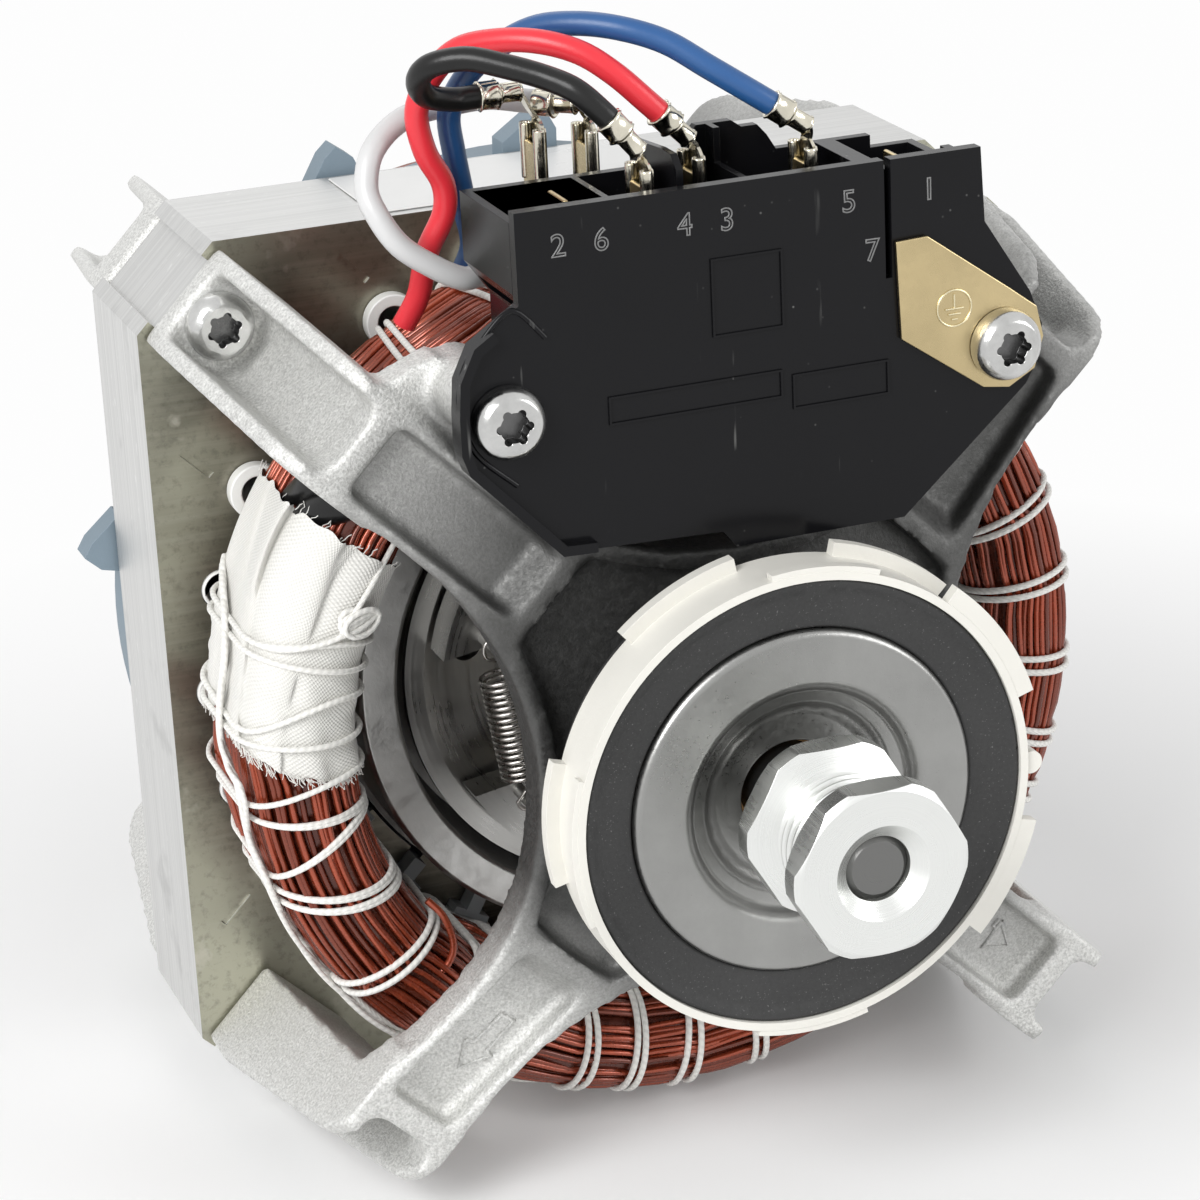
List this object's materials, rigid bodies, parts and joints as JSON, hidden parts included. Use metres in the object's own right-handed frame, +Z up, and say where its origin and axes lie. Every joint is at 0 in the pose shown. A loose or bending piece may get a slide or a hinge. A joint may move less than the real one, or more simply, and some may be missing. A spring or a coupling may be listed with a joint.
{
  "type": "washing machine motor",
  "caption": "Square open-frame induction drive motor with cast end shields, copper end windings, start switch, governor, belt pulley and resilient mounting rings.",
  "frame": {"origin": "on the shaft axis in the plane of the front rubber mounting ring's front face", "axes": "+Y back along the shaft, away from the pulley; +Z up through the start switch; +X to the right seen from the pulley end"},
  "size_m": [0.1451, 0.2437, 0.1771],
  "materials": {
    "lamination": "brushed",
    "cast_alloy": "satin",
    "copper": "gloss",
    "lacing": "matte",
    "liner": "satin",
    "wedge": "matte",
    "zinc": "satin",
    "bronze": "satin",
    "rubber": "matte",
    "ring": "satin",
    "guard": "matte",
    "label": "satin",
    "switch": "gloss",
    "brass": "polished",
    "tin": "polished",
    "black_wire": "satin",
    "red_wire": "satin",
    "blue_wire": "satin",
    "white_wire": "satin",
    "steel": "satin",
    "dark_steel": "satin",
    "cage": "machined",
    "spool": "matte",
    "lever": "matte"
  },
  "bodies": {
    "frame": {"stator_core": "lamination", "slot_liners": "liner", "slot_wedges": "wedge", "winding_core": "copper", "front_turns": "copper", "rear_turns": "copper", "winding_lacing": "lacing", "winding_sleeve": "lacing", "front_shield": "cast_alloy", "rear_shield": "cast_alloy", "through_bolts": "zinc", "front_bearing": "bronze", "rear_bearing": "bronze", "front_mount_dish": "zinc", "front_mount_rubber": "rubber", "front_mount_ring": "ring", "rear_mount_dish": "zinc", "rear_mount_rubber": "rubber", "rear_mount_ring": "ring", "rear_guard": "guard", "label_plate": "label", "switch_housing": "switch", "switch_cover": "switch", "ground_strap": "brass", "switch_screws": "zinc", "switch_tabs": "brass", "motor_protector": "switch", "protector_tabs": "brass", "wire_receptacles": "tin", "black_lead": "black_wire", "red_lead": "red_wire", "blue_lead": "blue_wire", "white_lead": "white_wire"},
    "rotor": {"motor_shaft": "steel", "rotor_core": "steel", "rotor_cage": "cage", "thrust_washers": "zinc", "pulley": "zinc", "governor_plate": "dark_steel", "governor_spring_left": "steel", "governor_spring_right": "steel"},
    "spool": {"governor_spool": "spool"},
    "weight_upper": {"governor_weight_upper": "steel"},
    "weight_lower": {"governor_weight_lower": "steel"},
    "lever": {"switch_lever": "lever"}
  },
  "joints": [
    {"name": "rotor_spin", "type": "hinge", "parent": "frame", "child": "rotor", "pos_m": [0, 0, 0], "axis": [0, 1, 0], "continuous": true},
    {"name": "spool_slide", "type": "slide", "parent": "rotor", "child": "spool", "axis": [0, 1, 0], "range_m": [0, 0.004], "stiffness_N_per_m": 1500, "springref_m": -0.002},
    {"name": "weight_upper_slide", "type": "slide", "parent": "rotor", "child": "weight_upper", "axis": [-0.1564, 0, 0.9877], "range_m": [0, 0.003], "deforming": ["governor_spring_left", "governor_spring_right"]},
    {"name": "weight_lower_slide", "type": "slide", "parent": "rotor", "child": "weight_lower", "axis": [0.1564, 0, -0.9877], "range_m": [0, 0.003]},
    {"name": "lever_swing", "type": "hinge", "parent": "frame", "child": "lever", "pos_m": [0, 0.0383, 0.0476], "axis": [1, 0, 0], "range_deg": [0, 4.9]}
  ],
  "couplings": [
    {"joint": "weight_upper_slide", "follows": "spool_slide", "ratio": 0.75},
    {"joint": "weight_lower_slide", "follows": "spool_slide", "ratio": 0.75},
    {"joint": "lever_swing", "follows": "spool_slide", "rad_per_m": 21}
  ]
}
